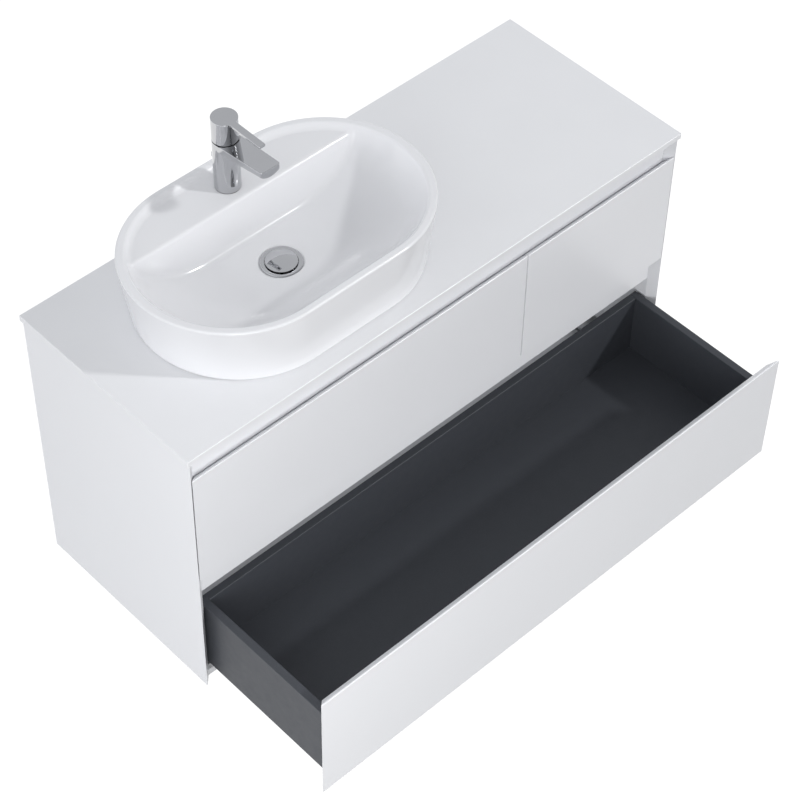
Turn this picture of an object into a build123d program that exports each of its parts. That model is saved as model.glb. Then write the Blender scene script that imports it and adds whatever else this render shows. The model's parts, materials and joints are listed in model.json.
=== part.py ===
from build123d import *
import math
import os

# Wall-hung vanity with a vessel basin. Millimetres, +Z up, the front faces -Y.
# The origin is on the wall plane, at the centre of the four wall screws.

# ---- driving dimensions ----------------------------------------------------
TOP_Z = 85.0              # upper face of the worktop above the screw pattern's centre
TOP_W = 1200.0
TOP_D = 455.0
TOP_T = 13.0
CARCASS_W = 1187.0
HEIGHT = 639.0            # upper face of the worktop down to the bottom of the cabinet
PANEL = 16.0              # thickness of the cabinet boards and of the fronts
FACE_Y = -452.0           # outer face of a closed front
FRONT_GAP = 0.8           # between the back of a front and the cabinet's front edges
MITRE_GAP = 2.1           # side panel's point to the end of a front, along X
CHANNEL = 45.0            # grip channel under the worktop
FRONT_H = 267.0
SPLIT_X = 200.0           # where the two upper fronts meet
SPLIT_GAP = 3.0
TOP_BEVEL = 13.0          # bevel behind the top edge of a front
EDGE = 0.8                # small chamfer on the visible board edges

RAIL_H = 72.0             # board behind the upper grip channel
MID_RAIL_UP = 7.0         # the middle board covers this much above the channel
MID_RAIL_DOWN = 11.0
STRETCHER_D = 120.0
BACK_RAIL_Y = -34.0       # front face of the two boards at the back
TOP_BACK_H = 120.0
LOW_BACK_H = 80.0

BOX_DEPTH = 338.0         # drawer box behind its front
BOX_H = 171.0
BOX_SIDE_GAP = 4.5        # drawer side to the board beside it
BOX_FLOOR_UP = 13.0       # drawer floor above the lower edge of the drawer side
LOWER_BOX_Z = -603.0      # lower edge of the drawer sides, from the worktop's upper face
UPPER_BOX_Z = -302.0
UNIT_OPEN = 315.0         # the lower drawer stands this far out at rest
CUTOUT_HALF = 70.0        # clear half width of the notch round the trap
CUTOUT_FRONT = -300.0
CUTOUT_WALL = 12.0

RUNNER_LEN = 330.0
RUNNER_FRONT = -430.0
RUNNER_DROP = 14.0        # runner's foot under the lower edge of the drawer side
STEEL = 1.5

BASIN_X = -199.0
BASIN_Y = -228.0
SEAL_T = 1.5
RIM_Z = 130.0             # rim above the worktop
RIM_A = 105.0             # half the straight length of the rim's outline
RIM_R = 199.5
FOOT_A = 90.0
FOOT_R = 194.0
WALL = 10.0
BOWL_A = 102.0            # half the straight length of the bowl
BOWL_Z = 31.5             # lowest point of the bowl
BOWL_SPHERE = 260.0
BOWL_RIM_R = 188.0
BOWL_WALL_FOOT = (176.5, 98.0)
BOWL_CORNER = 25.0        # between the bowl's floor and its wall
RIM_FILLET = 4.5
LEDGE_Z = 120.0
LEDGE_Y = -135.0
LEDGE_DRAFT = 14.0        # degrees

TAP_Y = -93.0
TAP_R = 24.4
BODY_TOP = 228.5
CAP_FOOT = 231.0
CAP_TOP = 278.0
LEVER_W = 14.0
LEVER_T = 4.5
LEVER_REACH = 100.0
SPOUT_REACH = 120.0
SPOUT_RISE = 11.5
PIVOT_Y = -87.0           # tilt axis of the lever
PIVOT_Z = 244.0
TILT = 18.0
ROD_Y = -60.0             # lift rod of the pop-up waste
ROD_HOLE_R = 4.0
DRAIN_Y = -232.0
FLANGE_R = 39.0           # rim of the waste, seated at the bowl's lowest point
DISH_R = 33.5             # its dish, which the plug closes
THROAT_R = 22.0           # outside of the waste below the dish
THROAT_Z = 19.3
SEAT_R = 35.2             # where the dish's underside meets the rim's
BALL_Y = -214.0
BALL_R = 5.0
LINK_Z = -75.0
LIFT_R = 2.25
ARM_R = 2.5
PLUG_R = 29.0
PLUG_Z = 35.2             # underside of the raised plug
TRAP_OUT_Z = -180.0
PIPE_R = 16.0
PIPE_BORE = 14.5
SLIP = 0.2                # clearance of a nut or a socket round a pipe
OUTLET_FREE = -165.0      # the outlet pipe is bare from here to the wall
TAIL_FREE = 90.0          # the tap's inlet tails are bare below this height
TAIL_X = 8.5              # half the distance between the inlet tails
TAIL_FOOT = 60.0
TAIL_DEPTH = 13.0         # tails and stud reach this far into the tap's body
TAIL_R = 5.0
STUD_Y = TAP_Y - 9.0      # stud that clamps the tap to the basin
STUD_R = 4.0
TAP_HOLE_R = 17.5
CARTRIDGE_R = 16.0        # bore of the tap's body round the cartridge
CARTRIDGE_FOOT = 195.0
OUTLET_R = 10.0           # bore of the spout round the aerator
CAP_WALL = 2.5
CAP_ROOF = 6.0
POST_R = 6.5              # post inside the cap that the stem is screwed into
STEM_R = 3.5
GRUB_Z = 262.0

SCREW_X = 547.5           # wall screw columns
SCREW_DZ = 15.0
SCREW_R = 3.5
PLATE_W = 50.0
PLATE_T = 2.0
HOOK_Z = -40.0            # underside of the hanger's arm, which rests on the plate's lip
HOOK_T = 4.0

CAM_R = 7.5               # fittings that draw the cabinet boards together
CAM_DEPTH = 12.0
CAM_INSET = 24.0          # from the inner face of the side panel

# ---- worked out from them --------------------------------------------------
SIDE_OUT = CARCASS_W / 2
SIDE_IN = SIDE_OUT - PANEL
BODY_Y = FACE_Y + PANEL + FRONT_GAP
FLOOR_Z = -HEIGHT
LOWER_TOP = FLOOR_Z + FRONT_H
UPPER_TOP = -TOP_T - CHANNEL
UPPER_FOOT = UPPER_TOP - FRONT_H
MID_TOP = UPPER_FOOT + MID_RAIL_UP
MID_FOOT = LOWER_TOP - MID_RAIL_DOWN
DIVIDER = (SPLIT_X - PANEL / 2, SPLIT_X + PANEL / 2)
BOX_BACK = FACE_Y + PANEL + BOX_DEPTH
EPS = 1.0                 # how far a cutting tool runs past a face

os.makedirs("parts", exist_ok=True)
nodes = {}


def add(name, *solids):
    """Keep solids as one node, raised from worktop height to the part's own frame."""
    nodes[name] = [Pos(0, 0, TOP_Z) * solid for solid in solids]


def block(x0, x1, y0, y1, z0, z1):
    centre = Pos((x0 + x1) / 2, (y0 + y1) / 2, (z0 + z1) / 2)
    return centre * Box(abs(x1 - x0), abs(y1 - y0), abs(z1 - z0))


def board(x0, x1, y0, y1, z0, z1):
    """A board with its edges just broken."""
    plain = block(x0, x1, y0, y1, z0, z1)
    return chamfer(plain.edges(), EDGE)


def rod(x, y, z0, z1, radius):
    """Upright round bar."""
    return Pos(x, y, (z0 + z1) / 2) * Cylinder(radius, abs(z1 - z0))


def bar_y(x, z, y0, y1, radius):
    """Round bar along Y."""
    return Pos(x, (y0 + y1) / 2, z) * Rot(90, 0, 0) * Cylinder(radius, abs(y1 - y0))


def bar_x(y, z, x0, x1, radius):
    """Round bar along X."""
    return Pos((x0 + x1) / 2, y, z) * Rot(0, 90, 0) * Cylinder(radius, abs(x1 - x0))


def turned(x, y, outline):
    """Turned piece on an upright axis, from (radius, height) points."""
    face = make_face(Plane.XZ * Polyline(*outline, close=True))
    return Pos(x, y, 0) * revolve(face, Axis.Z)


def along_y(points, y0, y1):
    """Bar along Y whose section is a polygon of (x, z) points."""
    face = make_face(Plane.XZ.offset(-y0) * Polyline(*points, close=True))
    return extrude(face, y1 - y0, dir=(0, 1, 0))


def along_x(points, x0, x1):
    """Bar along X whose section is a polygon of (y, z) points."""
    face = make_face(Plane.YZ.offset(x0) * Polyline(*points, close=True))
    return extrude(face, x1 - x0, dir=(1, 0, 0))


def along_z(points, z0, z1):
    """Bar along Z whose section is a polygon of (x, y) points."""
    face = make_face(Plane.XY.offset(z0) * Polyline(*points, close=True))
    return extrude(face, z1 - z0, dir=(0, 0, 1))


def mirrored(solid):
    return mirror(solid, Plane.YZ)


# ---- cabinet ---------------------------------------------------------------
def side_panel():
    """Right side panel: its front edge is mitred, longest at the outer face."""
    corners = [
        (SIDE_IN, 0.0),
        (SIDE_OUT, 0.0),
        (SIDE_OUT, FACE_Y),
        (SIDE_IN, FACE_Y + PANEL),
    ]
    return along_z(corners, FLOOR_Z, -TOP_T)


def cam_spots():
    """Centres and axes of the cam fittings that draw the boards together."""
    x = SIDE_IN - CAM_INSET
    front_y = -380.0
    rear_y = -70.0
    top_z = -TOP_T - 90.0
    low_z = FLOOR_Z + PANEL + 40.0
    spots = []
    for side in (-x, x):
        for y in (front_y, rear_y):
            spots.append((side, y, FLOOR_Z + PANEL, "up"))
        spots.append((side, BODY_Y + PANEL + STRETCHER_D / 2, MID_TOP - PANEL, "down"))
        spots.append((side, BACK_RAIL_Y, top_z, "front"))
        spots.append((side, BACK_RAIL_Y, low_z, "front"))
    return spots


def cam(x, y, z, facing, radius, depth):
    """Disc sunk into a board from the face it is set in."""
    if facing == "up":
        return rod(x, y, z - depth, z, radius)
    if facing == "down":
        return rod(x, y, z, z + depth, radius)
    return bar_y(x, z, y, y + depth, radius)


def cabinet():
    cut_cams = [cam(*spot, CAM_R, CAM_DEPTH + 0.5) for spot in cam_spots()]
    socket_r = CAM_R / 3
    socket_depth = CAM_DEPTH / 4
    add("carcass_cams", *[cam(*spot, CAM_R, CAM_DEPTH) - cam(*spot, socket_r, socket_depth)
                          for spot in cam_spots()])

    drain_hole_r = 30.0
    slot_half = 30.0
    slot_front = -125.0
    slot_back = -45.0
    slot_corner = 12.0
    top = board(-TOP_W / 2, TOP_W / 2, -TOP_D, 0, -TOP_T, 0)
    top -= rod(BASIN_X, DRAIN_Y, -TOP_T - EPS, EPS, drain_hole_r)
    slot = block(BASIN_X - slot_half, BASIN_X + slot_half, slot_front, slot_back,
                 -TOP_T - EPS, EPS)
    top -= fillet(slot.edges().filter_by(Axis.Z), slot_corner)
    add("worktop", top)

    panel = side_panel()
    add("side_panel_right", panel)
    add("side_panel_left", mirrored(panel))

    floor = block(-SIDE_IN, SIDE_IN, BODY_Y, 0, FLOOR_Z, FLOOR_Z + PANEL)
    stretcher = block(-SIDE_IN, SIDE_IN, BODY_Y + PANEL, BODY_Y + PANEL + STRETCHER_D,
                      MID_TOP - PANEL, MID_TOP)
    high = block(-SIDE_IN, SIDE_IN, BACK_RAIL_Y, BACK_RAIL_Y + PANEL,
                 -TOP_T - TOP_BACK_H, -TOP_T)
    low = block(-SIDE_IN, SIDE_IN, BACK_RAIL_Y, BACK_RAIL_Y + PANEL,
                FLOOR_Z + PANEL, FLOOR_Z + PANEL + LOW_BACK_H)
    notch_w = 22.0
    notch_z = (-62.0, -28.0)
    for side in (-1, 1):
        high -= block(side * (SIDE_IN - notch_w), side * (SIDE_IN + EPS),
                      BACK_RAIL_Y - EPS, BACK_RAIL_Y + PANEL + EPS, *notch_z)
    boards = {"bottom_panel": floor, "mid_stretcher": stretcher,
              "top_back_rail": high, "bottom_back_rail": low}
    for name, solid in boards.items():
        for cutter in cut_cams:
            solid -= cutter
        add(name, solid)

    add("top_front_rail",
        block(-SIDE_IN, SIDE_IN, BODY_Y, BODY_Y + PANEL, -TOP_T - RAIL_H, -TOP_T))
    add("mid_front_rail",
        block(-SIDE_IN, SIDE_IN, BODY_Y, BODY_Y + PANEL, MID_FOOT, MID_TOP))
    add("centre_divider",
        block(*DIVIDER, BODY_Y + PANEL, BACK_RAIL_Y, MID_TOP, -TOP_T))


def hangers():
    """Hook brackets in the top back corners and the plates screwed to the wall."""
    arm_top = HOOK_Z + HOOK_T
    arm_out = SIDE_IN - 3
    arm_in = arm_out - 14
    arm_front = -84.0
    claw_foot = -54.0
    claw_y = (-6.0, -3.0)
    case_w = 20.0
    case_front = -90.0
    case_z = (-76.0, -30.0)
    room = 0.3
    lip_y = -10.0
    shelf_z = -60.0
    plate_foot = -TOP_Z - 27
    hooks = []
    housings = []
    plates = []
    for side in (-1, 1):
        hook = block(side * arm_in, side * arm_out, arm_front, claw_y[1], HOOK_Z, arm_top)
        hook += block(side * arm_in, side * arm_out, *claw_y, claw_foot, arm_top)
        hooks.append(hook)
        housing = block(side * (SIDE_IN - case_w), side * SIDE_IN, case_front, BACK_RAIL_Y, *case_z)
        housing -= block(side * (arm_in - room), side * (arm_out + room),
                         arm_front - 2, 0, HOOK_Z - room, arm_top + room)
        housings.append(housing)
        x0 = side * SCREW_X - PLATE_W / 2
        x1 = side * SCREW_X + PLATE_W / 2
        plate = block(x0, x1, -PLATE_T, 0, plate_foot, shelf_z)
        plate += block(x0, x1, lip_y, 0, shelf_z - PLATE_T, shelf_z)
        plate += block(x0, x1, lip_y, lip_y + PLATE_T, shelf_z - PLATE_T, HOOK_Z)
        for dz in (-SCREW_DZ, SCREW_DZ):
            plate -= bar_y(side * SCREW_X, -TOP_Z + dz, -PLATE_T - EPS, EPS, SCREW_R)
        plates.append(plate)
    add("cabinet_hangers", *hooks, *housings)
    add("wall_plates", *plates)


# ---- runners ---------------------------------------------------------------
def runner_parts():
    """Sections of the telescopic runner: u runs inwards from the board, v up from its foot."""
    t = STEEL
    fixed = [(0, 0), (44, 0), (44, 12), (39, 12), (39, 12 - t), (44 - t, 12 - t), (44 - t, t),
             (24 + t, t), (24 + t, 12 - t), (29, 12 - t), (29, 12), (24, 12), (24, t), (t, t),
             (t, 32), (0, 32)]
    middle = [(26.5, 2.3), (41.5, 2.3), (41.5, 9.7), (35.5, 9.7), (35.5, 16.3), (41.5, 16.3),
              (41.5, 23.7), (26.5, 23.7), (26.5, 16.3), (32.5, 16.3), (32.5, 9.7), (26.5, 9.7)]
    slide = [(24, 14), (29, 14), (29, 14 + t), (24 + t, 14 + t), (24 + t, 27 - t),
             (44 - t, 27 - t), (44 - t, 14 + t), (39, 14 + t), (39, 14), (44, 14), (44, 27),
             (24, 27)]
    return fixed, middle, slide


def runner_bar(section, x, inwards, foot_z, shift):
    points = [(x + inwards * u, foot_z + v) for u, v in section]
    y0 = RUNNER_FRONT - shift
    return along_y(points, y0, y0 + RUNNER_LEN)


def runners():
    """Three pairs of runners. The lower pair is drawn out with its drawer."""
    fixed, middle, slide = runner_parts()
    bays = {
        "lower": (-SIDE_IN, SIDE_IN, LOWER_BOX_Z, UNIT_OPEN),
        "upper_left": (-SIDE_IN, DIVIDER[0], UPPER_BOX_Z, 0.0),
        "upper_right": (DIVIDER[1], SIDE_IN, UPPER_BOX_Z, 0.0),
    }
    rails = []
    for name, (left, right, box_z, out) in bays.items():
        foot = box_z - RUNNER_DROP
        ends = ((left, 1), (right, -1))
        rails += [runner_bar(fixed, x, way, foot, 0.0) for x, way in ends]
        add(name + "_runner_carriages",
            *[runner_bar(middle, x, way, foot, out / 2) for x, way in ends])
        add(name + "_runner_slides",
            *[runner_bar(slide, x, way, foot, out) for x, way in ends])
    add("runner_rails", *rails)


# ---- drawers ---------------------------------------------------------------
def front_board(x0, x1, z0, left_mitre, right_mitre, out):
    """Front with a bevel behind its top edge and a mitre at each outer end."""
    y0 = FACE_Y - out
    y1 = y0 + PANEL
    z1 = z0 + FRONT_H
    section = [(y0, z0), (y1, z0), (y1, z1 - TOP_BEVEL), (y1 - TOP_BEVEL, z1), (y0, z1)]
    front = along_x(section, x0, x1)
    if left_mitre:
        wedge = [(x0, y0), (x0 + PANEL, y1), (x0 - EPS, y1 + EPS), (x0 - EPS, y0)]
        front -= along_z(wedge, z0 - EPS, z1 + EPS)
    if right_mitre:
        wedge = [(x1, y0), (x1 - PANEL, y1), (x1 + EPS, y1 + EPS), (x1 + EPS, y0)]
        front -= along_z(wedge, z0 - EPS, z1 + EPS)
    rim = front.edges().filter_by(Axis.X).group_by(Axis.Y)[0]
    return chamfer(rim, EDGE)


def drawer_box(name, x0, x1, foot, out):
    """Two sides, a back and a floor. The floor's underside rides on the runners."""
    front_y = FACE_Y + PANEL - out
    back_y = BOX_BACK - out
    floor_z = foot + BOX_FLOOR_UP
    inner0 = x0 + PANEL
    inner1 = x1 - PANEL
    add(name + "_side_left", board(x0, inner0, front_y, back_y, foot, foot + BOX_H))
    add(name + "_side_right", board(inner1, x1, front_y, back_y, foot, foot + BOX_H))
    floor = block(inner0, inner1, front_y, back_y - PANEL, floor_z, floor_z + PANEL)
    back = board(inner0, inner1, back_y - PANEL, back_y, floor_z, foot + BOX_H)
    return floor, back


def drawers():
    end = SIDE_OUT - MITRE_GAP
    add("lower_front", front_board(-end, end, FLOOR_Z, True, True, UNIT_OPEN))
    gap = SPLIT_GAP / 2
    add("upper_left_front",
        front_board(-end, SPLIT_X - gap, UPPER_FOOT, True, False, 0.0))
    add("upper_right_front",
        front_board(SPLIT_X + gap, end, UPPER_FOOT, False, True, 0.0))

    reach = SIDE_IN - BOX_SIDE_GAP
    floor, back = drawer_box("lower", -reach, reach, LOWER_BOX_Z, UNIT_OPEN)
    add("lower_floor", floor)
    add("lower_back", back)

    floor, back = drawer_box("upper_right", DIVIDER[1] + BOX_SIDE_GAP, reach, UPPER_BOX_Z, 0.0)
    add("upper_right_floor", floor)
    add("upper_right_back", back)

    floor, back = drawer_box("upper_left", -reach, DIVIDER[0] - BOX_SIDE_GAP, UPPER_BOX_Z, 0.0)
    outer = CUTOUT_HALF + CUTOUT_WALL
    floor_z = UPPER_BOX_Z + BOX_FLOOR_UP
    box_top = UPPER_BOX_Z + BOX_H
    notch = block(BASIN_X - outer, BASIN_X + outer, CUTOUT_FRONT - CUTOUT_WALL, 0,
                  floor_z - EPS, box_top + EPS)
    add("upper_left_floor", floor - notch)
    add("upper_left_back", *(back - notch).solids())
    walls = [block(BASIN_X - outer, BASIN_X + outer, CUTOUT_FRONT - CUTOUT_WALL, CUTOUT_FRONT,
                   floor_z, box_top)]
    for x0 in (BASIN_X - outer, BASIN_X + CUTOUT_HALF):
        walls.append(block(x0, x0 + CUTOUT_WALL, CUTOUT_FRONT, BOX_BACK, floor_z, box_top))
    add("upper_left_cutout_walls", *walls)


# ---- basin -----------------------------------------------------------------
def stadium(half_straight, radius, z):
    return Pos(BASIN_X, BASIN_Y, z) * SlotCenterToCenter(2 * half_straight, 2 * radius)


def bowl_space(offset):
    """Everything inside the bowl's skin, or inside that skin moved outwards by offset."""
    sphere = BOWL_SPHERE + offset
    centre_z = BOWL_Z + BOWL_SPHERE
    foot_r = BOWL_WALL_FOOT[0] + offset
    foot_z = centre_z - math.sqrt(sphere ** 2 - foot_r ** 2)
    half = math.asin(foot_r / sphere) / 2
    middle = (sphere * math.sin(half), centre_z - sphere * math.cos(half))
    top = RIM_Z + EPS
    lines = [
        ThreePointArc((0, BOWL_Z - offset), middle, (foot_r, foot_z)),
        Line((foot_r, foot_z), (BOWL_RIM_R + offset, top)),
        Line((BOWL_RIM_R + offset, top), (0, top)),
        Line((0, top), (0, BOWL_Z - offset)),
    ]
    half_section = make_face(lines)
    corner = half_section.vertices().sort_by_distance((foot_r, foot_z, 0))[0]
    half_section = fillet(corner, BOWL_CORNER)
    upright = Plane.XZ * half_section
    end = revolve(upright, Axis.Z)
    whole = Plane.YZ * (half_section + mirror(half_section, Plane.YZ))
    middle_bar = extrude(whole, BOWL_A, both=True)
    space = middle_bar + Pos(-BOWL_A, 0, 0) * end + Pos(BOWL_A, 0, 0) * end
    return Pos(BASIN_X, BASIN_Y, 0) * space


def ledge_zone(drop, back):
    """Space behind and under the tap ledge, moved down by drop and back by back."""
    lean = math.tan(math.radians(LEDGE_DRAFT))
    y0 = LEDGE_Y + back
    z0 = LEDGE_Z - drop
    reach = BASIN_X - 400, BASIN_X + 400
    foot = -50.0
    return along_x([(y0, z0), (y0 - lean * (z0 - foot), foot), (50, foot), (50, z0)], *reach)


def basin():
    outside = loft([stadium(FOOT_A, FOOT_R, SEAL_T), stadium(RIM_A, RIM_R, RIM_Z)], ruled=True)
    inner = WALL + 2.0
    inside = loft([stadium(FOOT_A, FOOT_R - inner, SEAL_T - EPS),
                   stadium(RIM_A, RIM_R - inner, RIM_Z)], ruled=True)
    shell = outside - (bowl_space(0.0) - ledge_zone(0.0, 0.0))
    under_ledge = inside & ledge_zone(WALL, WALL)
    under_bowl = (inside - bowl_space(WALL)) & block(-900, 500, -500, 50, -50, 75)
    shell = shell - under_ledge - under_bowl
    seat = [(0, 0), (THROAT_R + 1, 0), (THROAT_R + 1, THROAT_Z + 0.6), (SEAT_R + 0.4, BOWL_Z),
            (FLANGE_R + 0.3, BOWL_Z), (FLANGE_R + 0.3, 60), (0, 60)]
    shell -= turned(BASIN_X, DRAIN_Y, seat)
    shell -= rod(BASIN_X, TAP_Y, LEDGE_Z - 2 * WALL, LEDGE_Z + EPS, TAP_HOLE_R)
    shell -= rod(BASIN_X, ROD_Y, LEDGE_Z - 2 * WALL, LEDGE_Z + EPS, ROD_HOLE_R)
    rim = shell.edges().group_by(Axis.Z)[-1]
    add("basin", fillet(rim, RIM_FILLET))
    seal = stadium(FOOT_A, FOOT_R - 2, 0) - stadium(FOOT_A, FOOT_R - 9, 0)
    add("basin_seal", extrude(seal, SEAL_T))


# ---- tap -------------------------------------------------------------------
def spout_section(reach, half_width, side, middle):
    """Flat-topped, round-bellied section of the spout, square to Y."""
    top = BODY_TOP + SPOUT_RISE * reach / SPOUT_REACH
    lines = [
        Line((BASIN_X - half_width, top), (BASIN_X + half_width, top)),
        Line((BASIN_X + half_width, top), (BASIN_X + half_width, top - side)),
        ThreePointArc((BASIN_X + half_width, top - side), (BASIN_X, top - middle),
                      (BASIN_X - half_width, top - side)),
        Line((BASIN_X - half_width, top - side), (BASIN_X - half_width, top)),
    ]
    return Plane.XZ.offset(-(TAP_Y - reach)) * make_face(lines)


def tap():
    """Body with its spout, the aerator, the base seal, the inlet tails and the clamp below."""
    foot = LEDGE_Z + 1
    seal_r = TAP_R - 0.6
    tip_r = 5.0
    body = rod(BASIN_X, TAP_Y, foot, BODY_TOP, TAP_R)
    spout = loft([spout_section(2, TAP_R - 0.2, 15, 26), spout_section(SPOUT_REACH, 21.5, 10, 18)])
    tip = spout.edges().filter_by(Axis.Z).group_by(Axis.Y)[0]
    body += fillet(tip, tip_r)
    outlet_y = TAP_Y - SPOUT_REACH + 20
    outlet_top = BODY_TOP + SPOUT_RISE - 11
    body -= rod(BASIN_X, outlet_y, 200, outlet_top, OUTLET_R)
    body -= rod(BASIN_X, TAP_Y, BODY_TOP, BODY_TOP + 20, TAP_R + 1.2)
    body -= rod(BASIN_X, TAP_Y, CARTRIDGE_FOOT, BODY_TOP + EPS, CARTRIDGE_R)
    tail_y = TAP_Y + 5
    tail_top = LEDGE_Z + TAIL_DEPTH
    for dx in (-TAIL_X, TAIL_X):
        body -= rod(BASIN_X + dx, tail_y, LEDGE_Z, tail_top, TAIL_R)
    body -= rod(BASIN_X, STUD_Y, LEDGE_Z, tail_top + 0.1, STUD_R + 0.1)
    add("tap_body", body)

    spray_foot = outlet_top - 13
    groove_top = spray_foot + 2
    spray = rod(BASIN_X, outlet_y, spray_foot, outlet_top, OUTLET_R - 0.2)
    for ring in (3.0, 6.0):
        groove = rod(BASIN_X, outlet_y, spray_foot - EPS, groove_top, ring + 0.9)
        core = rod(BASIN_X, outlet_y, spray_foot - 2, groove_top + EPS, ring)
        spray -= groove - core
    add("aerator", spray)

    seal = rod(BASIN_X, TAP_Y, LEDGE_Z, foot, seal_r)
    add("tap_base_seal", seal - rod(BASIN_X, TAP_Y, LEDGE_Z - EPS, foot + EPS, TAP_HOLE_R - 0.5))

    tail_bore = 3.2
    tails = []
    for dx in (-TAIL_X, TAIL_X):
        tail = rod(BASIN_X + dx, tail_y, TAIL_FOOT, TAIL_FREE, TAIL_R)
        tail += rod(BASIN_X + dx, tail_y, TAIL_FREE, tail_top, TAIL_R - 0.2)
        tails.append(tail - rod(BASIN_X + dx, tail_y, TAIL_FOOT - EPS, tail_top - 3, tail_bore))
    add("inlet_tails", *tails)

    clamp_top = LEDGE_Z - WALL
    clamp_foot = clamp_top - 4
    clamp_r = 22.0
    gap = TAIL_X + 6.5
    nut_r = 6.5
    nut_h = 8.0
    stud = rod(BASIN_X, STUD_Y, 70, tail_top, STUD_R)
    clamp = rod(BASIN_X, TAP_Y, clamp_foot, clamp_top, clamp_r)
    clamp -= block(BASIN_X - gap, BASIN_X + gap, TAP_Y - 3, TAP_Y + 30,
                   clamp_foot - EPS, clamp_top + EPS)
    clamp -= rod(BASIN_X, STUD_Y, clamp_foot - EPS, clamp_top + EPS, STUD_R + 0.2)
    nut = Pos(BASIN_X, STUD_Y, clamp_foot - nut_h) * extrude(RegularPolygon(nut_r, 6), nut_h)
    nut -= rod(BASIN_X, STUD_Y, clamp_foot - nut_h - EPS, clamp_top, STUD_R + 0.05)
    add("tap_fixings", stud, clamp, nut)


def cartridge():
    """Fixed housing, the swivel that turns in it and the cross pin of the lever."""
    top = 250.0
    well = 236.0
    well_r = 13.8
    cheek_x = 6.0
    cheek_t = 3.0
    pin_r = 1.5
    housing = rod(BASIN_X, TAP_Y, CARTRIDGE_FOOT, top, CARTRIDGE_R - 0.2)
    add("cartridge", housing - rod(BASIN_X, TAP_Y, well, top + EPS, well_r))
    swivel = rod(BASIN_X, TAP_Y, well + 0.3, well + 3.5, well_r - 0.3)
    for x0 in (-cheek_x - cheek_t, cheek_x):
        swivel += block(BASIN_X + x0, BASIN_X + x0 + cheek_t, PIVOT_Y - 4, PIVOT_Y + 4,
                        well + 3, PIVOT_Z + 4)
    half = cheek_x + cheek_t
    swivel -= bar_x(PIVOT_Y, PIVOT_Z, BASIN_X - half - EPS, BASIN_X + half + EPS, pin_r + 0.05)
    add("cartridge_swivel", swivel)
    add("lever_pin", bar_x(PIVOT_Y, PIVOT_Z, BASIN_X - half, BASIN_X + half, pin_r))


def lever():
    """Cap with the flat lever, and the stem that fits the cartridge."""
    hollow_top = CAP_TOP - CAP_ROOF
    relief_y = TAP_Y + 14.5
    back_y = TAP_Y + TAP_R + EPS
    relief_rise = 4.0
    stem_top = GRUB_Z + 5.5
    grub_r = 1.95
    cap = rod(BASIN_X, TAP_Y, CAP_FOOT, CAP_TOP, TAP_R)
    cap -= rod(BASIN_X, TAP_Y, CAP_FOOT - EPS, hollow_top, TAP_R - CAP_WALL)
    relief = [(relief_y, CAP_FOOT - EPS), (relief_y, CAP_FOOT),
              (back_y, CAP_FOOT + relief_rise), (back_y, CAP_FOOT - EPS)]
    cap -= along_x(relief, BASIN_X - TAP_R - EPS, BASIN_X + TAP_R + EPS)
    cap += rod(BASIN_X, TAP_Y, GRUB_Z - 6, hollow_top + EPS, POST_R)
    bar = block(BASIN_X - LEVER_W / 2, BASIN_X + LEVER_W / 2, TAP_Y - LEVER_REACH,
                TAP_Y - TAP_R + 4, CAP_TOP - LEVER_T, CAP_TOP)
    tip = bar.edges().filter_by(Axis.Z).group_by(Axis.Y)[0]
    cap += fillet(tip, 2)
    cap -= rod(BASIN_X, TAP_Y, GRUB_Z - 7, stem_top + 0.5, STEM_R + 0.05)
    cap -= bar_y(BASIN_X, GRUB_Z, TAP_Y, TAP_Y + POST_R + 1.5, grub_r + 0.05)
    add("lever_handle", cap)

    block_half = 5.5
    block_z = (PIVOT_Z - 3, PIVOT_Z + 6)
    stem = block(BASIN_X - block_half, BASIN_X + block_half, TAP_Y - 4, PIVOT_Y + 4, *block_z)
    stem += rod(BASIN_X, TAP_Y, block_z[1] - EPS, stem_top, STEM_R)
    stem -= bar_x(PIVOT_Y, PIVOT_Z, BASIN_X - 7, BASIN_X + 7, 1.56)
    add("lever_stem", stem)
    add("lever_screw", bar_y(BASIN_X, GRUB_Z, TAP_Y + STEM_R, TAP_Y + STEM_R + 4, grub_r))


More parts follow.
